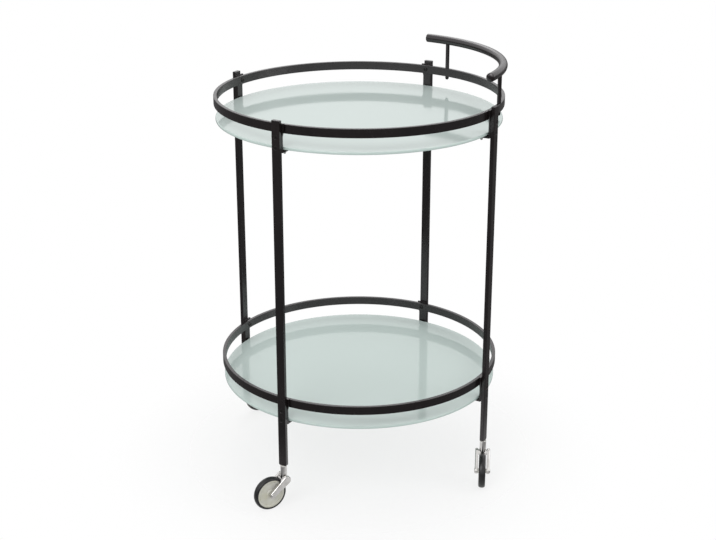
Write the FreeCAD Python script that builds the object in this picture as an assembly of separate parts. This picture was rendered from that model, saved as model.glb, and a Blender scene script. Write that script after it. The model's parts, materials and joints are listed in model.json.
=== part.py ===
"""Round two-tier serving cart: flat-bar frame, two glass trays, a tube handle and four swivel casters.

Millimetres, +Z up. The origin is on the floor under the cart's axis, and +X points through the handle.
"""
import FreeCAD, Part
import math
import os

from FreeCAD import Placement, Rotation, Vector

# Trays: a flat-bar ring round a glass disc that hangs below it
ring_outer_radius = 250.0
ring_bar_thickness = 6.0
ring_bar_height = 15.0
ring_edge_round = 0.8
lower_ring_lift = 124.3
tray_spacing = 479.0
glass_setback = 2.5
glass_thickness = 5.0
glass_edge_round = 2.0
glass_drop = 38.0

# Legs: four flat bars outside the rings
leg_width = 15.0
leg_thickness = 7.0
leg_rise = 7.0
leg_edge_round = 0.8
leg_azimuths = {"front_right": -45.0, "rear_right": 45.0, "rear_left": 135.0, "front_left": -135.0}

# Brackets: bent plates between ring and leg, with a foot under the glass
bracket_plate = 3.5
bracket_head_width = 22.0
bracket_head_rise = 1.5
bracket_taper_rise = 7.0
bracket_taper_drop = 5.5
bracket_foot_reach = 20.0
ring_gap = 0.05

# Clear plug pads between the bracket feet and the glass
pad_radius = 4.0
pad_thickness = 0.6
pad_stem_radius = 2.0
pad_plug_radius = 2.8
pad_tip_radius = 1.8
pad_plug_length = 6.0
pad_end_margin = 4.5

# Screws
screw_radius = 2.0
screw_clearance = 0.1
button_head_radius = 4.0
button_head_height = 2.0
flush_head_radius = 3.8
socket_width = 2.5
socket_depth = 1.0
leg_skin = 1.5
bracket_skin = 0.5
bracket_screw_drop = 5.0
bracket_screw_rise = 6.1

# Handle: a bent tube on two posts above the upper ring
handle_tube_radius = 7.5
handle_tube_wall = 2.0
handle_rise = 52.0
handle_inset = 2.0
handle_half_span = 44.0
handle_cap_thickness = 2.0
handle_cap_spigot = 6.0
handle_cap_clearance = 0.2
handle_cap_round = 1.2
handle_button_radius = 2.6
handle_button_height = 0.7
post_radius = 3.5
post_end_angle = 9.8
post_entry = 3.0
post_stud_radius = 1.5
post_clearance = 0.1
dome_nut_radius = 3.25
dome_nut_height = 6.0
dome_nut_wall = 1.5

# Casters
wheel_diameter = 60.0
tyre_width = 12.0
tyre_depth = 4.5
tyre_shoulder_round = 3.2
rim_inset = 0.75
rim_depth = 3.5
web_recess = 1.4
hub_boss_radius = 7.0
bush_radius = 4.0
axle_radius = 2.5
running_clearance = 0.05
seat_clearance = 0.02
axial_gap = 0.15
caster_trail = 28.0
tyre_clearance = 2.0
fork_side_gap = 1.8
fork_arm_thickness = 5.5
fork_arm_round = 1.0
axle_eye_radius = 5.5
crown_radius = 7.5
crown_roof = 3.6
boss_radius = 5.75
boss_rise = 16.4
pin_radius = 3.0
pin_head_radius = 4.5
pin_head_height = 2.5
pin_head_cover = 1.2
pin_thread_radius = 2.0
pin_thread_length = 12.0
washer_thickness = 1.0
axle_head_radius = 4.0
axle_head_height = 0.7
axle_cap_wall = 0.6

# Where each caster trails in the rest pose, as an azimuth about +Z
trail_azimuths = {"front_right": -110.0, "rear_right": 75.0, "rear_left": 17.5, "front_left": -162.5}

# Values that follow from the sizes above
ring_inner_radius = ring_outer_radius - ring_bar_thickness
ring_mid_radius = ring_outer_radius - ring_bar_thickness / 2
glass_radius = ring_outer_radius - glass_setback
bracket_inner = ring_outer_radius + ring_gap
bracket_bend_round = 0.75 * bracket_plate
pad_axis = bracket_inner - bracket_foot_reach + pad_end_margin
leg_inner = bracket_inner + bracket_plate
leg_outer = leg_inner + leg_thickness
leg_axis = leg_inner + leg_thickness / 2
screw_hole_radius = screw_radius + screw_clearance
wheel_radius = wheel_diameter / 2
hub_radius = wheel_radius - tyre_depth
saddle_radius = wheel_radius + tyre_clearance
fork_inner = tyre_width / 2 + fork_side_gap
fork_outer = fork_inner + fork_arm_thickness
counterbore_radius = pin_head_radius + axial_gap
saddle_reach = caster_trail - counterbore_radius
saddle_height = wheel_radius + math.sqrt(max(saddle_radius ** 2 - saddle_reach ** 2, 0.0))
pin_head_bottom = saddle_height + pin_head_cover
counterbore_top = pin_head_bottom + pin_head_height + axial_gap
crown_top = counterbore_top + crown_roof
crown_centre = crown_top - crown_radius
boss_top = crown_top + boss_rise
leg_bottom = boss_top + axial_gap + washer_thickness
lower_ring_top = leg_bottom + lower_ring_lift
upper_ring_top = lower_ring_top + tray_spacing
ring_tops = {"upper": upper_ring_top, "lower": lower_ring_top}
leg_top = upper_ring_top + leg_rise
handle_height = upper_ring_top + handle_rise
handle_radius = ring_mid_radius - handle_inset
post_azimuth = handle_half_span - post_end_angle

X_AXIS = Vector(1, 0, 0)
Y_AXIS = Vector(0, 1, 0)
Z_AXIS = Vector(0, 0, 1)
CENTRE = Vector(0, 0, 0)


def turned_about_z(shape, azimuth):
    """A copy of a shape that was drawn at azimuth 0, carried round the cart's axis."""
    copy = shape.copy()
    copy.Placement = Placement(CENTRE, Rotation(Z_AXIS, azimuth)).multiply(copy.Placement)
    return copy


def revolved(points, axis_point, axis_direction):
    """A solid turned from a closed outline of straight sides."""
    outline = Part.makePolygon(points + points[:1])
    return Part.Face(outline).revolve(axis_point, axis_direction, 360)


def prism(points, direction):
    """A straight solid on a closed outline."""
    outline = Part.makePolygon(points + points[:1])
    return Part.Face(outline).extrude(direction)


def circles_at(shape, radius, tolerance=1e-4):
    """The full-circle edges of one radius."""
    found = []
    for edge in shape.Edges:
        if isinstance(edge.Curve, Part.Circle) and abs(edge.Curve.Radius - radius) < tolerance:
            found.append(edge)
    return found


def dome(base_radius, height, base, direction):
    """A round cap: the part of a ball that stands on a flat circle."""
    ball_radius = (base_radius ** 2 + height ** 2) / (2 * height)
    ball_centre = base + direction * (height - ball_radius)
    ball = Part.makeSphere(ball_radius, ball_centre)
    return ball.common(Part.makeCylinder(2 * ball_radius, 2 * ball_radius, base, direction))


def socket_cut(base, direction, depth):
    """A hexagon socket, cut from the top of a screw head down into it."""
    side = Vector(0, 1, 0) if abs(direction.y) < 0.5 else Vector(1, 0, 0)
    corner_radius = socket_width / math.sqrt(3)
    points = []
    for step in range(6):
        turn = Rotation(direction, 60 * step)
        points.append(base + turn.multVec(side) * corner_radius)
    return prism(points, direction * -depth)


def radial_cylinder(radius, start, end, height):
    """A cylinder that points outwards at azimuth 0, from one distance to another."""
    return Part.makeCylinder(radius, end - start, Vector(start, 0, height), X_AXIS)


def ring(top):
    """One flat-bar ring with its screw holes."""
    bottom = Vector(0, 0, top - ring_bar_height)
    outside = Part.makeCylinder(ring_outer_radius, ring_bar_height, bottom)
    inside = Part.makeCylinder(ring_inner_radius, ring_bar_height, bottom)
    bar = outside.cut(inside)
    edges = circles_at(bar, ring_outer_radius) + circles_at(bar, ring_inner_radius)
    bar = bar.makeFillet(ring_edge_round, edges)
    middle = top - ring_bar_height / 2
    hole = radial_cylinder(screw_hole_radius, ring_inner_radius - ring_bar_thickness, bracket_inner, middle)
    for azimuth in leg_azimuths.values():
        bar = bar.cut(turned_about_z(hole, azimuth))
    return bar


def post_place(azimuth):
    """The point on the ring's middle line at an azimuth, at floor height."""
    turn = math.radians(azimuth)
    return Vector(ring_mid_radius * math.cos(turn), ring_mid_radius * math.sin(turn), 0)


def upper_ring_with_post_holes():
    """The upper ring, drilled from top to bottom for the handle's two studs."""
    bar = ring(upper_ring_top)
    for azimuth in (-post_azimuth, post_azimuth):
        base = post_place(azimuth) + Vector(0, 0, upper_ring_top - 2 * ring_bar_height)
        bar = bar.cut(Part.makeCylinder(post_stud_radius + post_clearance, 3 * ring_bar_height, base))
    return bar


def glass(ring_top):
    """A glass disc with a rounded polished edge."""
    bottom = Vector(0, 0, ring_top - glass_drop - glass_thickness)
    disc = Part.makeCylinder(glass_radius, glass_thickness, bottom)
    return disc.makeFillet(glass_edge_round, circles_at(disc, glass_radius))


def foot_top(ring_top):
    """The height of the bracket's foot, one pad below the glass."""
    return ring_top - glass_drop - glass_thickness - pad_thickness


def bracket_screw_heights(ring_top):
    """The heights of the two flush screws in a bracket: one below the ring and one above the foot."""
    return [ring_top - ring_bar_height - bracket_screw_drop, foot_top(ring_top) + bracket_screw_rise]


def flush_screw(height):
    """A flush screw through the leg into the bracket, pointing inwards at azimuth 0."""
    cone_height = flush_head_radius - screw_radius
    head = Part.makeCone(screw_radius, flush_head_radius, cone_height,
                         Vector(leg_outer - cone_height, 0, height), X_AXIS)
    shank_start = bracket_inner + bracket_skin
    shank = radial_cylinder(screw_radius, shank_start, leg_outer - cone_height, height)
    socket = socket_cut(Vector(leg_outer, 0, height), X_AXIS, socket_depth)
    return head.fuse(shank).removeSplitter().cut(socket)


def flush_screw_hole(height):
    """The countersunk hole that a flush screw sits in."""
    cone_height = flush_head_radius - screw_radius
    head = Part.makeCone(screw_hole_radius, flush_head_radius + screw_clearance, cone_height,
                         Vector(leg_outer - cone_height, 0, height), X_AXIS)
    shank = radial_cylinder(screw_hole_radius, ring_inner_radius, leg_outer - cone_height, height)
    return head.fuse(shank)


def ring_screw(ring_top):
    """A button-head screw from inside the ring, through the bracket, into the leg."""
    height = ring_top - ring_bar_height / 2
    seat = ring_inner_radius - button_head_radius ** 2 / (2 * ring_inner_radius) - ring_gap
    head = dome(button_head_radius, button_head_height, Vector(seat, 0, height), X_AXIS * -1)
    shank = radial_cylinder(screw_radius, seat, leg_outer - leg_skin - screw_clearance, height)
    socket_face = Vector(seat - button_head_height, 0, height)
    socket = socket_cut(socket_face, X_AXIS * -1, socket_depth)
    return head.fuse(shank).removeSplitter().cut(socket)


def leg():
    """A square-cut flat bar with its tapped holes, drawn at azimuth 0."""
    bar = Part.makeBox(leg_thickness, leg_width, leg_top - leg_bottom,
                       Vector(leg_inner, -leg_width / 2, leg_bottom))
    upright = []
    for edge in bar.Edges:
        if abs(edge.tangentAt(edge.FirstParameter).z) > 0.5:
            upright.append(edge)
    bar = bar.makeFillet(leg_edge_round, upright)
    for top in ring_tops.values():
        middle = top - ring_bar_height / 2
        bar = bar.cut(radial_cylinder(screw_hole_radius, ring_inner_radius, leg_outer - leg_skin, middle))
        for height in bracket_screw_heights(top):
            bar = bar.cut(flush_screw_hole(height))
    stud_hole_depth = pin_thread_length + screw_clearance
    stud_hole = Part.makeCylinder(pin_thread_radius + screw_clearance, stud_hole_depth + leg_thickness,
                                  Vector(leg_axis, 0, leg_bottom - leg_thickness))
    return bar.cut(stud_hole)


def bracket(ring_top):
    """A bent plate: wide head behind the ring, strap beside the glass and a foot under it."""
    head_half = bracket_head_width / 2
    strap_half = leg_width / 2
    head_top = ring_top + bracket_head_rise
    ring_bottom = ring_top - ring_bar_height
    taper_top = ring_bottom + bracket_taper_rise
    taper_bottom = ring_bottom - bracket_taper_drop
    top_of_foot = foot_top(ring_top)
    bottom_of_foot = top_of_foot - bracket_plate
    outline = []
    for half, height in ((head_half, head_top), (head_half, taper_top), (strap_half, taper_bottom),
                         (strap_half, bottom_of_foot)):
        outline.append(Vector(bracket_inner, half, height))
    for point in reversed(outline[:]):
        outline.append(Vector(point.x, -point.y, point.z))
    plate = prism(outline, X_AXIS * bracket_plate)
    foot_centre = bracket_inner - bracket_foot_reach + strap_half
    foot = Part.makeBox(leg_inner - foot_centre, leg_width, bracket_plate,
                        Vector(foot_centre, -strap_half, bottom_of_foot))
    foot_end = Part.makeCylinder(strap_half, bracket_plate, Vector(foot_centre, 0, bottom_of_foot))
    bent = plate.fuse([foot, foot_end]).removeSplitter()
    bend = []
    for edge in bent.Edges:
        box = edge.BoundBox
        on_outside = abs(box.XMin - leg_inner) < 1e-4 and abs(box.XMax - leg_inner) < 1e-4
        if on_outside and abs(box.ZMax - bottom_of_foot) < 1e-4:
            bend.append(edge)
    bent = bent.makeFillet(bracket_bend_round, bend)
    middle = ring_top - ring_bar_height / 2
    bent = bent.cut(radial_cylinder(screw_hole_radius, ring_inner_radius, leg_outer, middle))
    for height in bracket_screw_heights(ring_top):
        bent = bent.cut(radial_cylinder(screw_hole_radius, ring_inner_radius, leg_outer, height))
    pad_hole = Part.makeCylinder(pad_stem_radius + screw_clearance, 3 * bracket_plate,
                                 Vector(pad_axis, 0, bottom_of_foot - bracket_plate))
    return bent.cut(pad_hole)


def pad(ring_top):
    """A clear plug pad: a flat disc on the foot, a stem through it and a tapered plug below it."""
    seat = Vector(pad_axis, 0, foot_top(ring_top))
    below = seat - Vector(0, 0, bracket_plate)
    disc = Part.makeCylinder(pad_radius, pad_thickness, seat)
    stem = Part.makeCylinder(pad_stem_radius, bracket_plate, below)
    cone_length = pad_plug_length - pad_tip_radius
    cone = Part.makeCone(pad_plug_radius, pad_tip_radius, cone_length, below, Z_AXIS * -1)
    tip = dome(pad_tip_radius, pad_tip_radius, below - Z_AXIS * cone_length, Z_AXIS * -1)
    return disc.fuse([stem, cone, tip]).removeSplitter()


def handle_bar():
    """The bent tube, with a hole in its underside for each post."""
    middle = Vector(0, 0, handle_height)
    outside = Part.makeTorus(handle_radius, handle_tube_radius, middle, Z_AXIS, 0, 360, 2 * handle_half_span)
    bore_radius = handle_tube_radius - handle_tube_wall
    inside = Part.makeTorus(handle_radius, bore_radius, middle, Z_AXIS, 0, 360, 2 * handle_half_span)
    tube = turned_about_z(outside.cut(inside), -handle_half_span)
    for azimuth in (-post_azimuth, post_azimuth):
        base = post_place(azimuth) + Vector(0, 0, upper_ring_top)
        tube = tube.cut(Part.makeCylinder(post_radius + post_clearance, handle_rise, base))
    return tube


def handle_cap():
    """A closed end for the handle tube, drawn at azimuth 0 facing +Y."""
    spigot_radius = handle_tube_radius - handle_tube_wall - handle_cap_clearance
    middle = Vector(handle_radius, 0, handle_height)
    spigot = Part.makeCylinder(spigot_radius, handle_cap_spigot, middle, Y_AXIS * -1)
    lid = Part.makeCylinder(handle_tube_radius, handle_cap_thickness, middle, Y_AXIS)
    rim = []
    for edge in circles_at(lid, handle_tube_radius):
        if edge.BoundBox.YMin > handle_cap_thickness / 2:
            rim.append(edge)
    lid = lid.makeFillet(handle_cap_round, rim)
    button_base = middle + Y_AXIS * handle_cap_thickness
    button = Part.makeCylinder(handle_button_radius, handle_button_height, button_base, Y_AXIS)
    return spigot.fuse([lid, button]).removeSplitter()


def front_handle_cap():
    """The cap at the other end, facing -Y."""
    return handle_cap().mirror(CENTRE, Y_AXIS)


def handle_post(azimuth):
    """A round post with a thinner stud that goes down through the ring."""
    foot = post_place(azimuth) + Vector(0, 0, upper_ring_top)
    length = handle_rise - handle_tube_radius + handle_tube_wall + post_entry
    post = Part.makeCylinder(post_radius, length, foot)
    stud_length = ring_bar_height + dome_nut_height - dome_nut_wall - screw_clearance
    stud = Part.makeCylinder(post_stud_radius, stud_length, foot, Z_AXIS * -1)
    return post.fuse(stud).removeSplitter()


def dome_nut(azimuth):
    """A dome nut on the end of a post's stud, under the ring."""
    seat = post_place(azimuth) + Vector(0, 0, upper_ring_top - ring_bar_height)
    collar_height = dome_nut_height - dome_nut_radius
    collar = Part.makeCylinder(dome_nut_radius, collar_height, seat, Z_AXIS * -1)
    top = Part.makeSphere(dome_nut_radius, seat - Vector(0, 0, collar_height))
    below = Part.makeCylinder(2 * dome_nut_radius, dome_nut_height, seat, Z_AXIS * -1)
    nut = collar.fuse(top.common(below)).removeSplitter()
    bore = Part.makeCylinder(post_stud_radius + post_clearance, dome_nut_height - dome_nut_wall, seat,
                             Z_AXIS * -1)
    return nut.cut(bore)


def swivel_washer():
    """A thin thrust washer under the leg, round the caster's pin."""
    bottom = Vector(0, 0, boss_top + axial_gap)
    disc = Part.makeCylinder(boss_radius, washer_thickness, bottom)
    return disc.cut(Part.makeCylinder(pin_radius + screw_clearance, washer_thickness, bottom))


def caster_pin():
    """A shoulder screw: head in the crown, plain shank in the boss and thread in the leg."""
    head = Part.makeCylinder(pin_head_radius, pin_head_height, Vector(0, 0, pin_head_bottom))
    shank = Part.makeCylinder(pin_radius, leg_bottom - pin_head_bottom, Vector(0, 0, pin_head_bottom))
    thread = Part.makeCylinder(pin_thread_radius, pin_thread_length, Vector(0, 0, leg_bottom))
    screw = head.fuse([shank, thread]).removeSplitter()
    socket = socket_cut(Vector(0, 0, pin_head_bottom), Z_AXIS * -1, socket_depth)
    return screw.cut(socket)


def arm_outline(y):
    """The face of a fork arm: a round crown end, a smaller axle eye and their two common tangents."""
    crown = Vector(0, y, crown_centre)
    eye = Vector(caster_trail, y, wheel_radius)
    along = eye - crown
    spacing = along.Length
    along.normalize()
    lean = math.degrees(math.acos((crown_radius - axle_eye_radius) / spacing))
    upper = Rotation(Y_AXIS, -lean).multVec(along)
    lower = Rotation(Y_AXIS, lean).multVec(along)
    crown_arc = Part.Arc(crown + upper * crown_radius, crown - along * crown_radius,
                         crown + lower * crown_radius)
    eye_arc = Part.Arc(eye + lower * axle_eye_radius, eye + along * axle_eye_radius,
                       eye + upper * axle_eye_radius)
    lower_side = Part.LineSegment(crown + lower * crown_radius, eye + lower * axle_eye_radius)
    upper_side = Part.LineSegment(eye + upper * axle_eye_radius, crown + upper * crown_radius)
    edges = [curve.toShape() for curve in (crown_arc, lower_side, eye_arc, upper_side)]
    return Part.Face(Part.Wire(edges))


def fork():
    """A cast fork: boss on top, saddle over the tyre and two tapered arms down to the axle."""
    block = arm_outline(-fork_outer).extrude(Y_AXIS * 2 * fork_outer)
    rims = []
    for edge in block.Edges:
        box = edge.BoundBox
        if box.YMax - box.YMin < 1e-4:
            rims.append(edge)
    block = block.makeFillet(fork_arm_round, rims)
    boss = Part.makeCylinder(boss_radius, boss_top - crown_centre, Vector(0, 0, crown_centre))
    body = block.fuse(boss).removeSplitter()
    saddle = Part.makeCylinder(saddle_radius, 2 * fork_inner,
                               Vector(caster_trail, -fork_inner, wheel_radius), Y_AXIS)
    body = body.cut(saddle)
    below_crown = Part.makeBox(2 * saddle_radius + caster_trail, 2 * fork_inner, crown_centre,
                               Vector(caster_trail / 2, -fork_inner, 0))
    body = body.cut(below_crown)
    pin_bore = Part.makeCylinder(pin_radius + running_clearance, boss_top, CENTRE)
    counterbore = Part.makeCylinder(counterbore_radius, counterbore_top - wheel_radius,
                                    Vector(0, 0, wheel_radius))
    axle_hole = Part.makeCylinder(axle_radius + seat_clearance, 4 * fork_outer,
                                  Vector(caster_trail, -2 * fork_outer, wheel_radius), Y_AXIS)
    return body.cut([pin_bore, counterbore, axle_hole])


def axle():
    """The wheel's pin, with a dome head outside one arm."""
    centre = Vector(caster_trail, 0, wheel_radius)
    head = dome(axle_head_radius, axle_head_height, centre - Y_AXIS * fork_outer, Y_AXIS * -1)
    length = 2 * fork_outer + axle_head_height
    pin = Part.makeCylinder(axle_radius, length, centre - Y_AXIS * fork_outer, Y_AXIS)
    return head.fuse(pin).removeSplitter()


def axle_cap():
    """The dome cap on the axle's other end."""
    seat = Vector(caster_trail, fork_outer, wheel_radius)
    height = axle_head_height + axle_cap_wall
    cap = dome(axle_head_radius, height, seat, Y_AXIS)
    return cap.cut(Part.makeCylinder(axle_radius + seat_clearance, axle_head_height, seat, Y_AXIS))


def wheel_profile(points):
    """A solid turned about the axle from (radius, offset along the axle) pairs."""
    outline = [Vector(caster_trail, offset, wheel_radius + radius) for radius, offset in points]
    return revolved(outline, Vector(caster_trail, 0, wheel_radius), Y_AXIS)


def bush():
    """The plain bush that runs on the axle and spaces the wheel between the arms."""
    half = fork_inner - axial_gap
    bore = axle_radius + running_clearance
    return wheel_profile([(bore, -half), (bush_radius, -half), (bush_radius, half), (bore, half)])


def hub():
    """A disc wheel centre: a rim, a thinner web and a boss round the bush."""
    rim_half = tyre_width / 2 - rim_inset
    web_half = rim_half - web_recess
    bore = bush_radius + seat_clearance
    rim_inner = hub_radius - rim_depth
    side = [(bore, rim_half), (hub_boss_radius, rim_half), (hub_boss_radius + web_recess, web_half),
            (rim_inner - web_recess, web_half), (rim_inner, rim_half), (hub_radius, rim_half)]
    other_side = [(radius, -offset) for radius, offset in reversed(side)]
    return wheel_profile(side + other_side)


def tyre():
    """A rubber band with a rounded tread."""
    half = tyre_width / 2
    bore = hub_radius + seat_clearance
    band = wheel_profile([(bore, -half), (wheel_radius, -half), (wheel_radius, half), (bore, half)])
    return band.makeFillet(tyre_shoulder_round, circles_at(band, wheel_radius))


def around_legs(shape):
    """One copy of a shape at every leg."""
    return Part.makeCompound([turned_about_z(shape, azimuth) for azimuth in leg_azimuths.values()])


def stem_point(corner):
    """Where a caster's swivel axis meets the floor."""
    return Rotation(Z_AXIS, leg_azimuths[corner]).multVec(Vector(leg_axis, 0, 0))


def at_caster(shape, corner):
    """A caster piece, turned to its rest direction and carried under its leg."""
    copy = shape.copy()
    place = Placement(stem_point(corner), Rotation(Z_AXIS, trail_azimuths[corner]))
    copy.Placement = place.multiply(copy.Placement)
    return copy


def frame_nodes():
    """The fixed pieces: rings, legs, brackets, glass, pads, screws and handle."""
    nodes = {"upper_ring": upper_ring_with_post_holes(), "lower_ring": ring(ring_tops["lower"])}
    for corner, azimuth in leg_azimuths.items():
        nodes["leg_" + corner] = turned_about_z(leg(), azimuth)
    for tier, top in ring_tops.items():
        nodes[tier + "_glass"] = glass(top)
        nodes[tier + "_pads"] = around_legs(pad(top))
        nodes[tier + "_ring_screws"] = around_legs(ring_screw(top))
        flush = [around_legs(flush_screw(height)) for height in bracket_screw_heights(top)]
        nodes[tier + "_bracket_screws"] = Part.makeCompound(flush)
        for corner, azimuth in leg_azimuths.items():
            nodes[tier + "_bracket_" + corner] = turned_about_z(bracket(top), azimuth)
    nodes["handle_bar"] = handle_bar()
    nodes["handle_cap_rear"] = turned_about_z(handle_cap(), handle_half_span)
    nodes["handle_cap_front"] = turned_about_z(front_handle_cap(), -handle_half_span)
    nodes["handle_post_rear"] = handle_post(post_azimuth)
    nodes["handle_post_front"] = handle_post(-post_azimuth)
    nodes["handle_dome_nuts"] = Part.makeCompound([dome_nut(post_azimuth), dome_nut(-post_azimuth)])
    washers = [at_caster(swivel_washer(), corner) for corner in leg_azimuths]
    nodes["swivel_washers"] = Part.makeCompound(washers)
    return nodes


def caster_nodes():
    """The pieces of the four casters."""
    pieces = {"caster_pin": caster_pin(), "caster_fork": fork(), "wheel_axle": axle(),
              "axle_cap": axle_cap(), "wheel_bush": bush(), "wheel_hub": hub(), "wheel_tyre": tyre()}
    nodes = {}
    for corner in leg_azimuths:
        for name, shape in pieces.items():
            nodes[name + "_" + corner] = at_caster(shape, corner)
    return nodes


os.makedirs("parts", exist_ok=True)
for name, shape in {**frame_nodes(), **caster_nodes()}.items():
    shape.exportStep("parts/" + name + ".step")
    print(name, len(shape.Solids), "solids", "valid" if shape.isValid() else "NOT VALID",
          round(shape.Volume, 1), "mm3")
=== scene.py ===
# %% [markdown]
# This lesson dresses a round two-tier serving cart: two rings of bent flat bar, two milky glass discs, four
# legs, a tube handle and four chrome casters. The construction model comes in first, as a frame that stays
# where it is. Each piece is then modelled again with round edges and a finish of its own, in the place that
# the frame gives it. The frame's box is kept, because the dressed cart has to stay inside it.

# %% Load the frame
import json
import math
from collections import namedtuple

import bmesh
import bpy
from mathutils import Matrix, Vector


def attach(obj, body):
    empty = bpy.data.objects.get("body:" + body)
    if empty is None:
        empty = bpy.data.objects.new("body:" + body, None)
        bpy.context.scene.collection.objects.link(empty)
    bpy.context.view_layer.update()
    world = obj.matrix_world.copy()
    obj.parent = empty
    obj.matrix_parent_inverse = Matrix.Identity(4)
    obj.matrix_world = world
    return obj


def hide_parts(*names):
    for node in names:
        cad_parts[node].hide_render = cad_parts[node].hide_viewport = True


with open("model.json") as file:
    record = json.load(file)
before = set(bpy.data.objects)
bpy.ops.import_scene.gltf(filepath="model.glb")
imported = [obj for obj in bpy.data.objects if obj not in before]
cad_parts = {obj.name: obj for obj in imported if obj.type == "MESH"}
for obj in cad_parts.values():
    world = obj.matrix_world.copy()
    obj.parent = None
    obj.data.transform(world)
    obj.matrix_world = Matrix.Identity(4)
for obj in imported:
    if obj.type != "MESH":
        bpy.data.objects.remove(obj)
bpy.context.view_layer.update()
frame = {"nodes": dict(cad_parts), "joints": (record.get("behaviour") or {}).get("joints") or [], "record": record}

# %% [markdown]
# A leg is easiest to draw as if it stood on the +X axis, and a caster as if its pin stood at the origin
# with the wheel trailing along +X. A place is the matrix that carries such a drawing to where it belongs on
# the cart. The joints hold all that the places need: a swivel's point is on a caster's pin, and a roll's
# point on its axle.

# %% Places of the legs, casters and axles
CORNERS = ("front_right", "rear_right", "rear_left", "front_left")
TIERS = ("upper", "lower")
QUARTER_TURN = math.pi / 2

joint_points = {joint["name"]: Vector(joint["pos_m"]) for joint in frame["joints"]}
leg_places = {}
caster_places = {}
axle_places = {}
for corner in CORNERS:
    pin = joint_points["swivel_" + corner]
    axle = joint_points["roll_" + corner]
    trail = axle - pin
    leg_places[corner] = Matrix.Rotation(math.atan2(pin.y, pin.x), 4, "Z")
    turn = Matrix.Rotation(math.atan2(trail.y, trail.x), 4, "Z")
    caster_places[corner] = Matrix.Translation((pin.x, pin.y, 0)) @ turn
    axle_places[corner] = Matrix.Translation(axle) @ turn @ Matrix.Rotation(-QUARTER_TURN, 4, "X")
leg_place = leg_places["front_right"]
caster_place = caster_places["front_right"]
axle_place = axle_places["front_right"]
print("places:", ", ".join(CORNERS))

# %% [markdown]
# Sizes are read from the frame, so that the dress fits even if the construction changes. A node is measured
# along the directions of its place, and a round one by how far its points lie from the cart's upright axis.

# %% Measuring a node
def points_of(node):
    """The points of a node's mesh."""
    return [vertex.co for vertex in frame["nodes"][node].data.vertices]


def measured(node, place=Matrix()):
    """The lowest and the highest corner of a node, along the directions of a place."""
    into_place = place.inverted()
    points = [into_place @ point for point in points_of(node)]
    lowest = Vector([min(values) for values in zip(*points)])
    highest = Vector([max(values) for values in zip(*points)])
    return lowest, highest


def distances_from_axis(node):
    """The nearest and the farthest distance of a node's points from the cart's axis."""
    distances = [point.xy.length for point in points_of(node)]
    return min(distances), max(distances)


ring_inside, ring_outside = distances_from_axis("upper_ring")
ring_low, ring_high = measured("upper_ring")
ring_bar_height = ring_high.z - ring_low.z
print(f"ring bar: {ring_outside - ring_inside:.4f} by {ring_bar_height:.4f} m")

# %% [markdown]
# Every new piece ends the same way: doubled points are welded, normals point outwards, and the mesh becomes
# an object at the origin that rides on its node's body. Smooth shading would bend the light on flat faces
# beside a small round, so a Weighted Normal modifier lets the large faces decide. The record says which
# body a node has.

# %% From a bmesh to a piece
WELD = 1e-6
SHARP_ANGLE = math.radians(40)

record = frame["record"]
body_of = {node: body for body, nodes in record["behaviour"]["bodies"].items() for node in nodes}


def finished(bm, node, form, finish):
    """Makes a bmesh into a smooth piece that stands for a node, rides on its body and wears a finish."""
    bmesh.ops.remove_doubles(bm, verts=bm.verts, dist=WELD)
    bmesh.ops.recalc_face_normals(bm, faces=bm.faces)
    mesh = bpy.data.meshes.new(node + "_" + form)
    bm.to_mesh(mesh)
    bm.free()
    mesh.shade_smooth()
    mesh.set_sharp_from_angle(angle=SHARP_ANGLE)
    mesh.materials.append(finish)
    piece = bpy.data.objects.new(mesh.name, mesh)
    bpy.context.scene.collection.objects.link(piece)
    even_shading = piece.modifiers.new("even_shading", "WEIGHTED_NORMAL")
    even_shading.keep_sharp = True
    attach(piece, body_of[node])
    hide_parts(node)
    print(piece.name, len(mesh.polygons), "faces")


# %% [markdown]
# The cart has four of almost everything. Such a shape is drawn in one spot, and a matrix carries it to its
# place. Where several small things share one node, as screws do, the shape is duplicated inside its bmesh,
# because one node wants one piece.

# %% Placing and repeating a shape
def everything(bm):
    """All elements of a bmesh."""
    return bm.verts[:] + bm.edges[:] + bm.faces[:]


def only_vertices(elements):
    """The vertices among the mesh elements that an operator gives back."""
    return [element for element in elements if isinstance(element, bmesh.types.BMVert)]


def put(bm, place):
    """Carries everything in a bmesh to a place."""
    bmesh.ops.transform(bm, matrix=place, verts=bm.verts)
    return bm


def repeated(bm, places):
    """Carries a bmesh to the first place and leaves a copy at each of the others."""
    shape = everything(bm)
    first_vertices = bm.verts[:]
    for place in places[1:]:
        copies = bmesh.ops.duplicate(bm, geom=shape)["geom"]
        bmesh.ops.transform(bm, matrix=place, verts=only_vertices(copies))
    bmesh.ops.transform(bm, matrix=places[0], verts=first_vertices)
    return bm


# %% [markdown]
# Many pieces are turned: rings, discs, posts, nuts, hubs and tyres. A lathe needs only half of the section,
# so the section starts as a flat face through a few corners. Its corners are rounded while it is still
# flat, because a bevel of one flat corner is exact and cheap. The face is then dropped and its edges are
# spun once round the Z axis.

# %% A lathe
ROUND_SEGMENTS = 4


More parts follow.
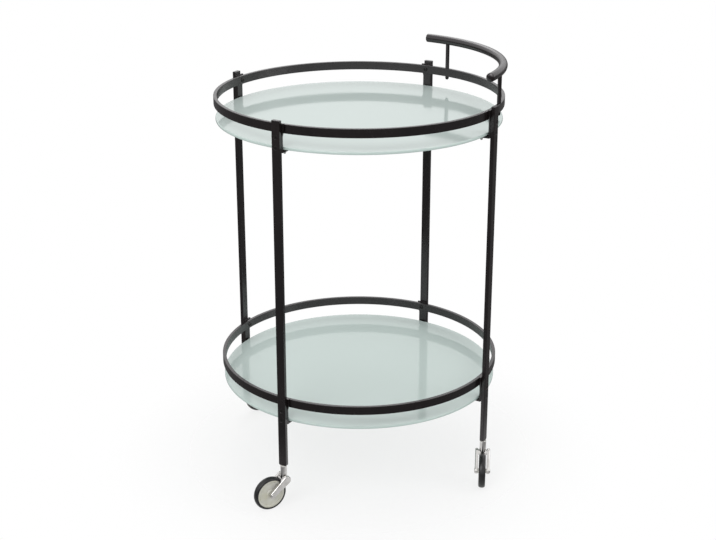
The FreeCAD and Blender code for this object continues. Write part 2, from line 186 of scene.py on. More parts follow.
def turned(corners, rounds, steps):
    """A body of (radius, height) corners, turned about the Z axis; rounds maps corner numbers to radii."""
    bm = bmesh.new()
    vertices = [bm.verts.new((radius, 0, height)) for radius, height in corners]
    bm.faces.new(vertices)
    for number, radius in rounds.items():
        bmesh.ops.bevel(bm, geom=[vertices[number]], offset=radius, segments=ROUND_SEGMENTS, profile=0.5,
                        affect="VERTICES", material=-1)
    bmesh.ops.delete(bm, geom=bm.faces[:], context="FACES_ONLY")
    on_axis = [edge for edge in bm.edges if max(vertex.co.x for vertex in edge.verts) < WELD]
    bmesh.ops.delete(bm, geom=on_axis, context="EDGES")
    bmesh.ops.spin(bm, geom=bm.verts[:] + bm.edges[:], axis=(0, 0, 1), angle=math.tau, steps=steps,
                   use_merge=True)
    bmesh.ops.remove_doubles(bm, verts=bm.verts, dist=WELD)
    return bm


# %% [markdown]
# A finish is a Principled shader with a few textures in front of it. A painted picture would need a UV map
# for each piece. Noise in the piece's own coordinates needs none and sits still on it. A cloud of noise is
# described by its features to the metre, its fine detail, and a stretch along X, Y and Z.

# %% Clouds of noise
Cloud = namedtuple("Cloud", "per_metre detail stretch", defaults=(3, (1, 1, 1)))


def noise(tree, cloud):
    """The noise texture of a cloud."""
    coordinates = tree.nodes.new("ShaderNodeTexCoord")
    mapping = tree.nodes.new("ShaderNodeMapping")
    mapping.inputs["Scale"].default_value = cloud.stretch
    texture = tree.nodes.new("ShaderNodeTexNoise")
    texture.inputs["Scale"].default_value = cloud.per_metre
    texture.inputs["Detail"].default_value = cloud.detail
    tree.links.new(coordinates.outputs["Object"], mapping.inputs["Vector"])
    tree.links.new(mapping.outputs["Vector"], texture.inputs["Vector"])
    return texture.outputs["Fac"]


def remapped(tree, value, before, after, smooth=False):
    """A value brought from one range to another, at an even rate or with soft ends."""
    span = tree.nodes.new("ShaderNodeMapRange")
    if smooth:
        span.interpolation_type = "SMOOTHSTEP"
    for side, number in zip(("From Min", "From Max", "To Min", "To Max"), (*before, *after)):
        span.inputs[side].default_value = number
    tree.links.new(value, span.inputs["Value"])
    return span.outputs["Result"]


# %% [markdown]
# Real surfaces are never quite even, and three things show it. The tone drifts, the gloss comes and goes,
# and a fine grain tilts the surface. A cloud leads each of them. What is the same all over a surface is a
# setting on the shader's own socket.

# %% Tones, gloss and grain
TONE_RANGE = (0.35, 0.65)
NOISE_RANGE = (0.3, 0.7)


def bare_finish(name):
    """A new material, its node tree and its Principled shader."""
    material = bpy.data.materials.new(name)
    material.use_nodes = True
    print("finish:", name)
    return material, material.node_tree, material.node_tree.nodes["Principled BSDF"]


def two_tones(tree, share, tones, shader):
    """Mixes two colours by a texture, with all of the change in its middle range."""
    ramp = tree.nodes.new("ShaderNodeValToRGB")
    for element, position, tone in zip(ramp.color_ramp.elements, TONE_RANGE, tones):
        element.position = position
        element.color = (*tone, 1)
    tree.links.new(share, ramp.inputs["Fac"])
    tree.links.new(ramp.outputs["Color"], shader.inputs["Base Color"])


def uneven_gloss(tree, cloud, roughness, shader):
    """Lets the roughness swing between two values."""
    swing = remapped(tree, noise(tree, cloud), NOISE_RANGE, roughness)
    tree.links.new(swing, shader.inputs["Roughness"])


def fine_grain(tree, cloud, depth, shader):
    """Tilts the surface as if a cloud stood out from it by so many metres."""
    bump = tree.nodes.new("ShaderNodeBump")
    bump.inputs["Distance"].default_value = depth
    tree.links.new(noise(tree, cloud), bump.inputs["Height"])
    tree.links.new(bump.outputs["Normal"], shader.inputs["Normal"])


# %% [markdown]
# Nearly all finishes of the cart are made of these three, so one function puts them together. A soft
# plastic has no grain to speak of, so the grain may be left out.

# %% A clouded finish
def clouded_finish(name, tones, tone_cloud, roughness, gloss_cloud, grain_cloud=None, grain_depth=0,
                   settings=None):
    """A material with two tones, an uneven gloss, perhaps a grain, and settings for other sockets."""
    material, tree, shader = bare_finish(name)
    two_tones(tree, noise(tree, tone_cloud), tones, shader)
    uneven_gloss(tree, gloss_cloud, roughness, shader)
    if grain_cloud:
        fine_grain(tree, grain_cloud, grain_depth, shader)
    for socket, value in (settings or {}).items():
        shader.inputs[socket].default_value = value
    return material


# %% [markdown]
# The whole frame wears one coat: a satin paint between black and dark brown, baked on. Under a soft light
# its tone drifts over a hand's width, its gloss over a finger's, and a fine powder grain keeps the
# highlights soft. The swings stay small, so that the coat reads as new.

# %% The frame's satin coat
frame_finish = clouded_finish(
    "satin_coat",
    tones=((0.0054, 0.0038, 0.0040), (0.0090, 0.0066, 0.0064)),
    tone_cloud=Cloud(18),
    roughness=(0.19, 0.28),
    gloss_cloud=Cloud(120),
    grain_cloud=Cloud(1500),
    grain_depth=0.00002,
    settings={"Specular IOR Level": 0.77, "Specular Tint": (1, 0.957, 0.985, 1)},
)

# %% [markdown]
# Each ring is a flat bar, bent on edge to a circle. It could be a cylinder with a thickness, but a turned
# section gives it the drawn bar's round edges too, and those carry the bright line that runs round the rim
# in the light.

# %% The two rings
ring_edge_round = 0.0008
LARGE_TURN_STEPS = 240

ring_tops = {}
for tier in TIERS:
    low, high = measured(tier + "_ring")
    ring_tops[tier] = high.z
    section = [(ring_inside, low.z), (ring_outside, low.z), (ring_outside, high.z), (ring_inside, high.z)]
    rounds = {number: ring_edge_round for number in range(len(section))}
    finished(turned(section, rounds, LARGE_TURN_STEPS), tier + "_ring", "bent_bar", frame_finish)

# %% [markdown]
# A leg is a length of flat bar that stands outside both rings. A cube, stretched between two corners, is
# enough to start from. Bevels do the rest: first the two corners of the foot, then every edge, because a
# bar that was drawn and coated has no sharp edge left.

# %% A flat bar
leg_edge_round = 0.0008
leg_edge_segments = 3
leg_foot_round = 0.0022
CLEAR_ANGLE = math.radians(30)

leg_low, leg_high = measured("leg_front_right", leg_place)
print(f"leg: {leg_high.z - leg_low.z:.4f} m tall")


def rounded(bm, edges, radius, segments, clamp=False):
    """Rounds edges with a bevel; clamp stops it where it would run over a short edge."""
    bmesh.ops.bevel(bm, geom=edges, offset=radius, segments=segments, profile=0.5, affect="EDGES",
                    clamp_overlap=clamp, material=-1)


def sharp_edges(bm):
    """The edges where two faces meet at a clear angle."""
    return [edge for edge in bm.edges if edge.calc_face_angle(0) > CLEAR_ANGLE]


def flat_bar():
    """A leg on the +X axis, without its sinks."""
    size = leg_high - leg_low
    stretched = Matrix.Translation((leg_low + leg_high) / 2) @ Matrix.Diagonal((*size, 1))
    bm = bmesh.new()
    bmesh.ops.create_cube(bm, size=1, matrix=stretched)
    foot_corners = []
    for edge in bm.edges:
        middle = (edge.verts[0].co + edge.verts[1].co) / 2
        if abs(middle.z - leg_low.z) < WELD and abs(middle.y) > WELD:
            foot_corners.append(edge)
    rounded(bm, foot_corners, leg_foot_round, ROUND_SEGMENTS)
    rounded(bm, sharp_edges(bm), leg_edge_round, leg_edge_segments)
    return bm


# %% [markdown]
# Flush screws go through the leg into the brackets, and their sinks are real hollows here. A boolean could
# cut them, but operators keep the mesh clean. The outer face is taken out, a circle is drawn for each
# screw, and triangle_fill closes the face again around the circles. Each circle is then extruded inwards
# and drawn in, which makes the cone of the sink.

# %% The four legs
sink_radius = 0.0039
sink_floor_radius = 0.0021
sink_depth = sink_radius - sink_floor_radius
flush_head_radius = 0.0038
SMALL_TURN_STEPS = 40

flush_heights = {}
for tier in TIERS:
    low, high = measured(tier + "_bracket_screws")
    flush_heights[tier] = (low.z + flush_head_radius, high.z - flush_head_radius)
sink_heights = [height for tier in TIERS for height in flush_heights[tier]]
facing_out = Matrix.Rotation(QUARTER_TURN, 4, "Y")


def edges_round(vertices):
    """The edges of a loop, from its vertices."""
    return list({edge for vertex in vertices for edge in vertex.link_edges})


def with_sinks(bm):
    """Sinks a cone for each flush screw into the outer face of a leg."""
    outer_face = max(bm.faces, key=lambda face: face.calc_center_median().x)
    borders = outer_face.edges[:]
    bmesh.ops.delete(bm, geom=[outer_face], context="FACES_ONLY")
    mouths = []
    for height in sink_heights:
        spot = Matrix.Translation((leg_high.x, 0, height)) @ facing_out
        circle = bmesh.ops.create_circle(bm, segments=SMALL_TURN_STEPS, radius=sink_radius, matrix=spot)
        mouths.append(edges_round(circle["verts"]))
        borders += mouths[-1]
    bmesh.ops.triangle_fill(bm, edges=borders, use_beauty=True, normal=(1, 0, 0))
    narrowing = sink_floor_radius / sink_radius
    for height, mouth in zip(sink_heights, mouths):
        cone_end = only_vertices(bmesh.ops.extrude_edge_only(bm, edges=mouth)["geom"])
        to_middle = Matrix.Translation((0, 0, -height))
        bmesh.ops.scale(bm, vec=(1, narrowing, narrowing), space=to_middle, verts=cone_end)
        bmesh.ops.translate(bm, vec=(-sink_depth, 0, 0), verts=cone_end)
        bmesh.ops.contextual_create(bm, geom=cone_end)
    return bm


for corner in CORNERS:
    finished(put(with_sinks(flat_bar()), leg_places[corner]), "leg_" + corner, "flat_bar", frame_finish)

# %% [markdown]
# A bracket is one bent plate: a wide head between ring and leg, a strap down beside the glass and a
# half-round foot under it. Drawn from the side it is an L, so the L is extruded to the strap's width. Cuts
# across the strap then let the head be widened, with a taper below it.

# %% The blank of a bracket
bracket_plate = 0.0035
taper_rise = 0.007
taper_drop = 0.0055
strap_half = leg_high.y
print(f"strap: {2 * strap_half:.4f} by {bracket_plate:.4f} m")


def bracket_blank(low, high, ring_top):
    """A bracket with sharp edges on the +X axis, inside the box that its node has there."""
    inner = high.x - bracket_plate
    foot_top = low.z + bracket_plate
    side = [(high.x, high.z), (high.x, low.z), (low.x, low.z), (low.x, foot_top), (inner, foot_top),
            (inner, high.z)]
    bm = bmesh.new()
    profile = bm.faces.new([bm.verts.new((x, -strap_half, z)) for x, z in side])
    across = bmesh.ops.extrude_face_region(bm, geom=[profile])["geom"]
    bmesh.ops.translate(bm, vec=(0, 2 * strap_half, 0), verts=only_vertices(across))
    ring_bottom = ring_top - ring_bar_height
    taper_top = ring_bottom + taper_rise
    for height in (foot_top, ring_bottom - taper_drop, taper_top):
        bmesh.ops.bisect_plane(bm, geom=everything(bm), dist=WELD, plane_co=(0, 0, height),
                               plane_no=(0, 0, 1))
    head = [vertex for vertex in bm.verts if vertex.co.z > taper_top - WELD]
    bmesh.ops.scale(bm, vec=(1, high.y / strap_half, 1), verts=head)
    return bm


# %% [markdown]
# A press and a file leave a plate without sharp edges. The foot's corners are rounded by nearly half the
# strap's width, and the bend gets a larger round outside than inside. A fine bevel then breaks what is
# still sharp. The edges are found by where they lie, because their numbers change with every operator.

# %% The eight brackets
bend_round = 0.0026
inner_bend_round = 0.001
bend_segments = 5
foot_segments = 10
broken_edge = 0.0004
broken_edge_segments = 2
NEARLY_WHOLE = 0.97


def edges_at(bm, x, z=None):
    """The straight edges that lie at one x, and at one z if it is given."""
    found = []
    for edge in bm.edges:
        at_x = all(abs(vertex.co.x - x) < WELD for vertex in edge.verts)
        at_z = z is None or all(abs(vertex.co.z - z) < WELD for vertex in edge.verts)
        if at_x and at_z:
            found.append(edge)
    return found


def is_upright(edge):
    """Whether an edge runs from one height to another."""
    return abs(edge.verts[0].co.z - edge.verts[1].co.z) > WELD


def bent_plate(low, high, ring_top):
    """A finished bracket on the +X axis."""
    bm = bracket_blank(low, high, ring_top)
    foot_corners = [edge for edge in edges_at(bm, low.x) if is_upright(edge)]
    rounded(bm, foot_corners, NEARLY_WHOLE * strap_half, foot_segments)
    rounded(bm, edges_at(bm, high.x, low.z), bend_round, bend_segments)
    inner_bend = edges_at(bm, high.x - bracket_plate, low.z + bracket_plate)
    rounded(bm, inner_bend, inner_bend_round, bend_segments)
    rounded(bm, sharp_edges(bm), broken_edge, broken_edge_segments, clamp=True)
    return bm


for tier in TIERS:
    low, high = measured(tier + "_bracket_front_right", leg_place)
    for corner in CORNERS:
        plate = put(bent_plate(low, high, ring_tops[tier]), leg_places[corner])
        finished(plate, tier + "_bracket_" + corner, "bent_plate", frame_finish)

# %% [markdown]
# The screws are steel with a thin black oxide that lets the metal shine through a little. So the shader is
# only partly metallic. The finish is rougher than the coat, which sets the screws off from the frame.

# %% Blackened steel
screw_finish = clouded_finish(
    "blackened_steel",
    tones=((0.010, 0.009, 0.009), (0.022, 0.020, 0.019)),
    tone_cloud=Cloud(260),
    roughness=(0.28, 0.44),
    gloss_cloud=Cloud(900),
    grain_cloud=Cloud(2600),
    grain_depth=0.00001,
    settings={"Metallic": 0.35},
)

# %% [markdown]
# Each screw has a hexagon socket. A head is a turned outline, and the middle of its lid is taken out again.
# A hexagon is drawn in the opening, bridge_loops joins it to the round mouth, and an extrusion sinks it to
# a socket. A boolean would do it too, but it leaves slivers in so small a face.

# %% A socket screw
socket_width = 0.0025
socket_depth = 0.001
socket_land = 0.0004
HEXAGON_SIDES = 6
socket_corner = socket_width / math.sqrt(3)
mouth_radius = socket_corner + socket_land
print(f"socket: {socket_width:.4f} m wide in a mouth of radius {mouth_radius:.4f} m")


def socket_screw(outline, rounds):
    """An upright screw, head on top; the outline starts at the socket's mouth and ends on the axis."""
    height = outline[0][1]
    bm = turned([(0, height), *outline], rounds, SMALL_TURN_STEPS)
    on_axis = [vertex for vertex in bm.verts if vertex.co.xy.length < WELD]
    lid = [vertex for vertex in on_axis if abs(vertex.co.z - height) < WELD]
    bmesh.ops.delete(bm, geom=lid, context="VERTS")
    mouth = [edge for edge in bm.edges if edge.is_boundary]
    hexagon = bmesh.ops.create_circle(bm, segments=HEXAGON_SIDES, radius=socket_corner,
                                      matrix=Matrix.Translation((0, 0, height)))
    sides = edges_round(hexagon["verts"])
    bmesh.ops.bridge_loops(bm, edges=mouth + sides)
    socket_floor = only_vertices(bmesh.ops.extrude_edge_only(bm, edges=sides)["geom"])
    bmesh.ops.translate(bm, vec=(0, 0, -socket_depth), verts=socket_floor)
    bmesh.ops.contextual_create(bm, geom=socket_floor)
    return bm


# %% [markdown]
# Flush heads lie in the sinks, just below the leg's face. Button heads stand on the inside of the ring. The
# ring curves there and a head is flat, so a head touches the ring with two of its sides only, and that sets
# how far from the cart's axis it sits.

# %% Flush and button screws
flush_sink = 0.00015
flush_edge_round = 0.00025
screw_radius = 0.002
button_head_radius = 0.004
button_head_height = 0.002
button_dome_round = 0.0019

cone_end = -flush_sink - (flush_head_radius - screw_radius)
flush_outline = [(mouth_radius, -flush_sink), (flush_head_radius, -flush_sink), (screw_radius, cone_end),
                 (0, cone_end)]
button_outline = [(mouth_radius, button_head_height), (button_head_radius, button_head_height),
                  (button_head_radius, 0), (0, 0)]
button_seat = ring_inside - button_head_radius ** 2 / (2 * ring_inside)
facing_in = Matrix.Rotation(-QUARTER_TURN, 4, "Y")
for tier in TIERS:
    spots = []
    for corner in CORNERS:
        for height in flush_heights[tier]:
            spots.append(leg_places[corner] @ Matrix.Translation((leg_high.x, 0, height)) @ facing_out)
    flush = repeated(socket_screw(flush_outline, {2: flush_edge_round}), spots)
    finished(flush, tier + "_bracket_screws", "countersunk", screw_finish)
    on_ring = Matrix.Translation((button_seat, 0, ring_tops[tier] - ring_bar_height / 2)) @ facing_in
    spots = [leg_places[corner] @ on_ring for corner in CORNERS]
    buttons = repeated(socket_screw(button_outline, {2: button_dome_round}), spots)
    finished(buttons, tier + "_ring_screws", "button_head", screw_finish)

# %% [markdown]
# The trays are milky glass. From above, the milk shows through a glossy skin that mirrors the ring and the
# posts, more strongly the flatter one looks. A Principled shader with the index of glass does that by
# itself. The edge is where one looks along the sheet, so the glass's own green gathers there. Faint wipe
# marks in the roughness keep the large plain faces from looking like plastic.

# %% Milky glass
glass_tones = ((0.610, 0.703, 0.674), (0.590, 0.702, 0.666))
glass_roughness = (0.05, 0.10)
glass_index = 1.52
edge_tint_width = 0.004
edge_tint_shares = (0.3, 0.75)
wipe_marks = Cloud(9, detail=6, stretch=(1, 2.5, 1))
glass_radius = distances_from_axis("upper_glass")[1]


def axis_distance(tree):
    """The distance of a point from the cart's axis, on a piece at the origin."""
    coordinates = tree.nodes.new("ShaderNodeTexCoord")
    flat = tree.nodes.new("ShaderNodeVectorMath")
    flat.operation = "MULTIPLY"
    flat.inputs[1].default_value = (1, 1, 0)
    length = tree.nodes.new("ShaderNodeVectorMath")
    length.operation = "LENGTH"
    tree.links.new(coordinates.outputs["Object"], flat.inputs[0])
    tree.links.new(flat.outputs["Vector"], length.inputs[0])
    return length.outputs["Value"]


def milky_glass():
    """Pale green-white glass, greener at its rim."""
    material, tree, shader = bare_finish("milky_glass")
    edge_band = (glass_radius - edge_tint_width, glass_radius)
    two_tones(tree, remapped(tree, axis_distance(tree), edge_band, edge_tint_shares), glass_tones, shader)
    uneven_gloss(tree, wipe_marks, glass_roughness, shader)
    shader.inputs["IOR"].default_value = glass_index
    return material


glass_finish = milky_glass()

# %% [markdown]
# A tray is a disc with a polished, rounded edge. It hangs below its ring on the feet of the brackets. A
# turned section closes it at the axis and gives both edges their round in one go.

# %% The two discs
glass_edge_round = 0.002

for tier in TIERS:
    low, high = measured(tier + "_glass")
    section = [(0, low.z), (glass_radius, low.z), (glass_radius, high.z), (0, high.z)]
    disc = turned(section, {1: glass_edge_round, 2: glass_edge_round}, LARGE_TURN_STEPS)
    finished(disc, tier + "_glass", "disc", glass_finish)

# %% [markdown]
# Between glass and foot sits a clear soft plug: a flat pad, a neck through the foot and a tapered end that
# was pushed through and snapped in below. One turned outline makes it. The vinyl lets light through with a
# slight haze, so the shader uses transmission.

# %% Clear pads
pad_radius = 0.004
pad_neck_radius = 0.002
pad_edge_round = 0.0002
plug_radius = 0.0028
plug_tip_radius = 0.0018
plug_tip_round = 0.00144

pad_finish = clouded_finish(
    "clear_vinyl",
    tones=((0.80, 0.83, 0.81), (0.90, 0.92, 0.90)),
    tone_cloud=Cloud(300),
    roughness=(0.12, 0.24),
    gloss_cloud=Cloud(700),
    settings={"Transmission Weight": 0.8, "IOR": 1.48},
)
pad_rounds = {1: pad_edge_round, 2: pad_edge_round, 5: pad_edge_round, 6: plug_tip_round}
for tier in TIERS:
    low, high = measured(tier + "_pads", leg_place)
    foot_bottom = measured(tier + "_bracket_front_right", leg_place)[0].z
    foot_top = foot_bottom + bracket_plate
    outline = [(0, high.z), (pad_radius, high.z), (pad_radius, foot_top), (pad_neck_radius, foot_top),
               (pad_neck_radius, foot_bottom), (plug_radius, foot_bottom), (plug_tip_radius, low.z),
               (0, low.z)]
    on_foot = Matrix.Translation((high.x - pad_radius, 0, 0))
    pads = repeated(turned(outline, pad_rounds, SMALL_TURN_STEPS),
                    [leg_places[corner] @ on_foot for corner in CORNERS])
    finished(pads, tier + "_pads", "plugs", pad_finish)

# %% [markdown]
# The handle is a tube bent to nearly the ring's own curve. A curve with a round bevel could stand for it,
# but a mesh is wanted in the end. So its section, a circle, is spun through the handle's angle about the
# cart's axis. The nodes give the bend's radius, its angle and the tube's thickness.

# %% The handle's tube
TUBE_SEGMENTS = 48
BEND_STEPS = 96

inner_side, outer_side = distances_from_axis("handle_bar")
tube_low, tube_high = measured("handle_bar")
bend_radius = (inner_side + outer_side) / 2
tube_radius = (outer_side - inner_side) / 2
tube_height = (tube_low.z + tube_high.z) / 2
half_span = max(math.atan2(point.y, point.x) for point in points_of("handle_bar"))
on_bend = Matrix.Translation((bend_radius, 0, tube_height))


def bent_tube():
    """A round tube, bent about the cart's axis."""
    bm = bmesh.new()
    start = Matrix.Rotation(-half_span, 4, "Z") @ on_bend @ Matrix.Rotation(QUARTER_TURN, 4, "X")
    bmesh.ops.create_circle(bm, segments=TUBE_SEGMENTS, radius=tube_radius, matrix=start)
    bmesh.ops.spin(bm, geom=bm.verts[:] + bm.edges[:], axis=(0, 0, 1), angle=2 * half_span, steps=BEND_STEPS)
    open_ends = [edge for edge in bm.edges if edge.is_boundary]
    bmesh.ops.holes_fill(bm, edges=open_ends)
    return bm


finished(bent_tube(), "handle_bar", "bent_tube", frame_finish)

# %% [markdown]
# A plug with a low dome closes each end of the tube. It is turned upright: a spigot that goes into the
# tube, a shoulder as wide as the tube, and a crown. A quarter turn and the end's angle then lay it against
# the tube.

# %% The handle's plugs
cap_spigot = 0.006
cap_spigot_radius = 0.0053
cap_shoulder = 0.0009
cap_dome = 0.0027
cap_crown_radius = 0.0038
cap_crown_round = 0.002

cap_outline = [(0, -cap_spigot), (cap_spigot_radius, -cap_spigot), (cap_spigot_radius, 0), (tube_radius, 0),
               (tube_radius, cap_shoulder), (cap_crown_radius, cap_dome), (0, cap_dome)]
cap_rounds = {4: cap_shoulder, 5: cap_crown_round}
for end, side in (("rear", 1), ("front", -1)):
    facing_end = Matrix.Rotation(-side * QUARTER_TURN, 4, "X")
    spot = Matrix.Rotation(side * half_span, 4, "Z") @ on_bend @ facing_end
    cap = put(turned(cap_outline, cap_rounds, TUBE_SEGMENTS), spot)
    finished(cap, "handle_cap_" + end, "plug", frame_finish)

# %% [markdown]
# Two thin posts carry the handle on the upper ring, and a dome nut below the ring holds each of them. A
# post is a plain rod with a soft foot. A nut is a short cylinder whose lower edge is rounded by nearly its
# whole radius, which makes a dome with no sphere to fit.

# %% Posts and dome nuts
post_foot_round = 0.0004
nut_radius = 0.00325

ring_top = ring_tops["upper"]
ring_bottom = ring_top - ring_bar_height
post_spots = []
for end in ("rear", "front"):
    low, high = measured("handle_post_" + end)
    middle = (low + high) / 2
    post_radius = (high.x - low.x) / 2
    spot = Matrix.Translation((middle.x, middle.y, 0))
    post_spots.append(spot)
    outline = [(0, ring_top), (post_radius, ring_top), (post_radius, high.z), (0, high.z)]
    post = put(turned(outline, {1: post_foot_round}, SMALL_TURN_STEPS), spot)
    finished(post, "handle_post_" + end, "rod", frame_finish)
nut_bottom = measured("handle_dome_nuts")[0].z
outline = [(0, ring_bottom), (nut_radius, ring_bottom), (nut_radius, nut_bottom), (0, nut_bottom)]
nuts = repeated(turned(outline, {2: NEARLY_WHOLE * nut_radius}, SMALL_TURN_STEPS), post_spots)
finished(nuts, "handle_dome_nuts", "turned", screw_finish)

# %% [markdown]
# The casters' metal is chrome plate. A flawless mirror would look like a drawing of chrome, so the
# roughness swings with the faint swirls that polishing leaves, and a slow, very shallow grain bends the
# reflections.

# %% Polished chrome
chrome = clouded_finish(
    "polished_chrome",
    tones=((0.570, 0.555, 0.540), (0.690, 0.677, 0.662)),
    tone_cloud=Cloud(90),
    roughness=(0.05, 0.13),
    gloss_cloud=Cloud(500, detail=5, stretch=(1, 1, 4)),
    grain_cloud=Cloud(240),
    grain_depth=0.00003,
    settings={"Metallic": 1},
)

# %% [markdown]
# A caster's fork is a polished casting. Seen from the side its arm is the hull of two circles, a large one
# at the crown and a smaller one at the axle. So the side view is drawn with arcs, each spun from a single
# vertex, and extruded to the arm's thickness. The inner face is left open, because the bridge grows from
# there.

# %% An arm of the fork
crown_radius = 0.0075
axle_eye_radius = 0.0055
boss_rise = 0.0164
arm_thickness = 0.0055
arm_edge_round = 0.0018
ARC_STEPS = 24

fork_high = measured("caster_fork_front_right", caster_place)[1]
tyre_low, tyre_high = measured("wheel_tyre_front_right", caster_place)
wheel_radius = tyre_high.z / 2
trail_length = (tyre_low.x + tyre_high.x) / 2
crown_height = fork_high.z - boss_rise - crown_radius
arm_outside = -fork_high.y
arm_inside = arm_outside + arm_thickness


def crown_and_eye(y):
    """The middles of the crown and of the axle's eye, so far beside the wheel's plane."""
    return Vector((0, y, crown_height)), Vector((trail_length, y, wheel_radius))


crown, eye = crown_and_eye(0)
reach = (eye - crown).length
slope = (eye - crown) / reach
print(f"fork: {reach:.4f} m from crown to axle")


def leaning(angle):
    """The direction from crown to axle, turned by an angle in the wheel's plane."""
    return Matrix.Rotation(angle, 3, "Y") @ slope


def arc(bm, start, centre, angle):
    """A chain of edges from a start point round a centre in the XZ plane; gives its ends and its edges."""
    earlier = set(bm.edges)
    first = bm.verts.new(start)
    chain = bmesh.ops.spin(bm, geom=[first], cent=centre, axis=(0, 1, 0), angle=angle, steps=ARC_STEPS)
    return first, only_vertices(chain["geom_last"])[0], [edge for edge in bm.edges if edge not in earlier]


def fork_arm():
    """One arm with its inner face left open, and the edges round that opening."""
    crown, eye = crown_and_eye(arm_outside)
    lean = math.acos((crown_radius - axle_eye_radius) / reach)
    crown_start = crown + leaning(-lean) * crown_radius
    eye_start = eye + leaning(lean) * axle_eye_radius
    bm = bmesh.new()
    crown_first, crown_last, crown_arc = arc(bm, crown_start, crown, -2 * (math.pi - lean))
    eye_first, eye_last, eye_arc = arc(bm, eye_start, eye, -2 * lean)
    lines = [bm.edges.new((crown_last, eye_first)), bm.edges.new((eye_last, crown_first))]
    side = bmesh.ops.contextual_create(bm, geom=crown_arc + lines + eye_arc)["faces"]
    arm = bmesh.ops.extrude_face_region(bm, geom=side)["geom"]
    bmesh.ops.translate(bm, vec=(0, arm_thickness, 0), verts=only_vertices(arm))
    for y, radius in ((arm_outside, arm_edge_round), (arm_inside, broken_edge)):
        rim = [edge for edge in sharp_edges(bm) if all(abs(vertex.co.y - y) < WELD for vertex in edge.verts)]
        rounded(bm, rim, radius, ROUND_SEGMENTS)
    inner_face = max(bm.faces, key=lambda face: face.calc_center_median().y)
    opening = inner_face.edges[:]
    bmesh.ops.delete(bm, geom=[inner_face], context="FACES_ONLY")
    return bm, opening


# %% [markdown]
# A round bridge joins the two arms. Its outline, with a hollow for the tyre, is drawn into the open inner
# face. triangle_fill closes the face around it, the outline is extruded to the middle, and a mirror makes
# the other half. The bridge is slimmer than the crown, so a valley stays on each side of the boss. Where
# its circle meets the hollow's circle follows from the law of cosines.

# %% The bridge of the fork
bridge_radius = 0.0055
saddle_clearance = 0.0028
saddle_radius = wheel_radius + saddle_clearance
bridge_cosine = (reach ** 2 + bridge_radius ** 2 - saddle_radius ** 2) / (2 * reach * bridge_radius)
bridge_half = math.acos(bridge_cosine)
saddle_half = math.asin(bridge_radius * math.sin(bridge_half) / saddle_radius)
print(f"hollow: {saddle_clearance:.4f} m clear of the tyre")


def fork_casting():
    """A fork with its pin on the Z axis and its wheel along +X, without the boss."""
    bm, opening = fork_arm()
    crown, eye = crown_and_eye(arm_inside)
    arc(bm, crown + leaning(-bridge_half) * bridge_radius, crown, 2 * bridge_half - math.tau)
    arc(bm, crown + leaning(bridge_half) * bridge_radius, eye, 2 * saddle_half)
    bmesh.ops.remove_doubles(bm, verts=[vertex for vertex in bm.verts if vertex.is_wire], dist=WELD)
    mouth = [edge for edge in bm.edges if edge.is_wire]
    bmesh.ops.triangle_fill(bm, edges=opening + mouth, use_beauty=True, normal=(0, 1, 0))
    half_bridge = only_vertices(bmesh.ops.extrude_edge_only(bm, edges=mouth)["geom"])
    bmesh.ops.translate(bm, vec=(0, -arm_inside, 0), verts=half_bridge)
    bmesh.ops.mirror(bm, geom=everything(bm), axis="Y", merge_dist=WELD)
    bmesh.ops.recalc_face_normals(bm, faces=bm.faces)
    return bm


# %% [markdown]
# A round boss stands on the crown and holds the caster's pin. It is turned by itself and joined to the fork
# through a passing mesh, because from_mesh adds to what a bmesh already holds. Both shells overlap inside
# the crown, where nobody sees it.

# %% The four forks
boss_radius = 0.00575
boss_edge_round = 0.0005


def with_boss(bm):
    """Adds the round boss that stands on the fork's crown."""
    outline = [(0, crown_height), (boss_radius, crown_height), (boss_radius, fork_high.z), (0, fork_high.z)]
    boss = turned(outline, {2: boss_edge_round}, TUBE_SEGMENTS)
    boss_mesh = bpy.data.meshes.new("boss")
    boss.to_mesh(boss_mesh)
    boss.free()
    bm.from_mesh(boss_mesh)
    bpy.data.meshes.remove(boss_mesh)
    return bm


for corner in CORNERS:
    fork = put(with_boss(fork_casting()), caster_places[corner])
    finished(fork, "caster_fork_" + corner, "casting", chrome)

# %% [markdown]
# An axle goes through both arms, with a dome head on one side and a dome cap on the other. Turned pieces of
# a wheel are drawn upright about the Z axis, and the axle's place lays them over to where the axle runs.

# %% Axles and their caps
axle_radius = 0.0025
dome_radius = 0.004

for corner in CORNERS:
    low, high = measured("wheel_axle_" + corner, axle_places[corner])
    head_height = arm_outside - low.z
    outline = [(0, low.z), (dome_radius, low.z), (dome_radius, arm_outside), (axle_radius, arm_outside),
               (axle_radius, high.z), (0, high.z)]
    axle = put(turned(outline, {1: NEARLY_WHOLE * head_height}, SMALL_TURN_STEPS), axle_places[corner])
    finished(axle, "wheel_axle_" + corner, "pin", chrome)
    low, high = measured("axle_cap_" + corner, axle_places[corner])
    outline = [(0, low.z), (dome_radius, low.z), (dome_radius, high.z), (0, high.z)]
    cap_rounds = {2: NEARLY_WHOLE * (high.z - low.z)}
    cap = put(turned(outline, cap_rounds, SMALL_TURN_STEPS), axle_places[corner])
    finished(cap, "axle_cap_" + corner, "dome", chrome)

# %% [markdown]
# The wheel's centre is a moulded disc: a boss round the bush, a thinner web and a raised rim, in a
# cream-grey plastic that has a soft sheen and a faint cloudiness. Both sides are alike, so one side's
# corners are listed and the other side's follow from them.

# %% Wheel centres
bush_radius = 0.004
hub_boss_radius = 0.007
rim_depth = 0.0035
web_recess = 0.0014
moulding_round = 0.0005

